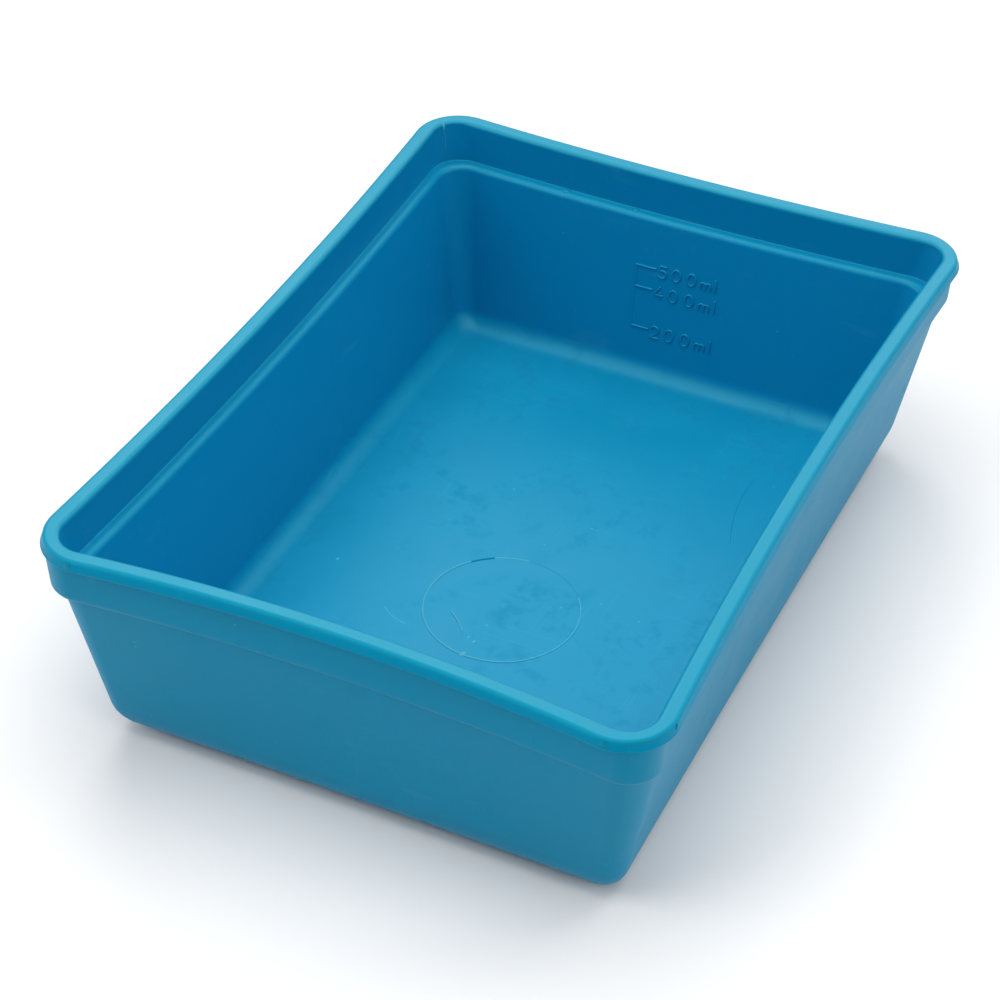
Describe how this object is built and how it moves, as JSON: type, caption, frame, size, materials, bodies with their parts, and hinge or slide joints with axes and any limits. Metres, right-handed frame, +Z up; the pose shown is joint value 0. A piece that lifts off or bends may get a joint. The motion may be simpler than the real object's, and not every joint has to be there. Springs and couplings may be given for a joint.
{
  "type": "mud pan",
  "caption": "Small rectangular plastic tray with a flat lip, a ledge inside the collar, drafted walls and a raised volume scale, for mixing and carrying joint compound.",
  "frame": {"origin": "middle of the underside, on the surface that the tray stands on", "axes": "+Z up out of the open top, +Y along the length towards the end wall with the raised scale, +X across the width"},
  "size_m": [0.132, 0.1812, 0.0532],
  "materials": {
    "tray_plastic": "satin moulded polypropylene"
  },
  "bodies": {
    "root": {"tray": "tray_plastic"}
  },
  "joints": []
}
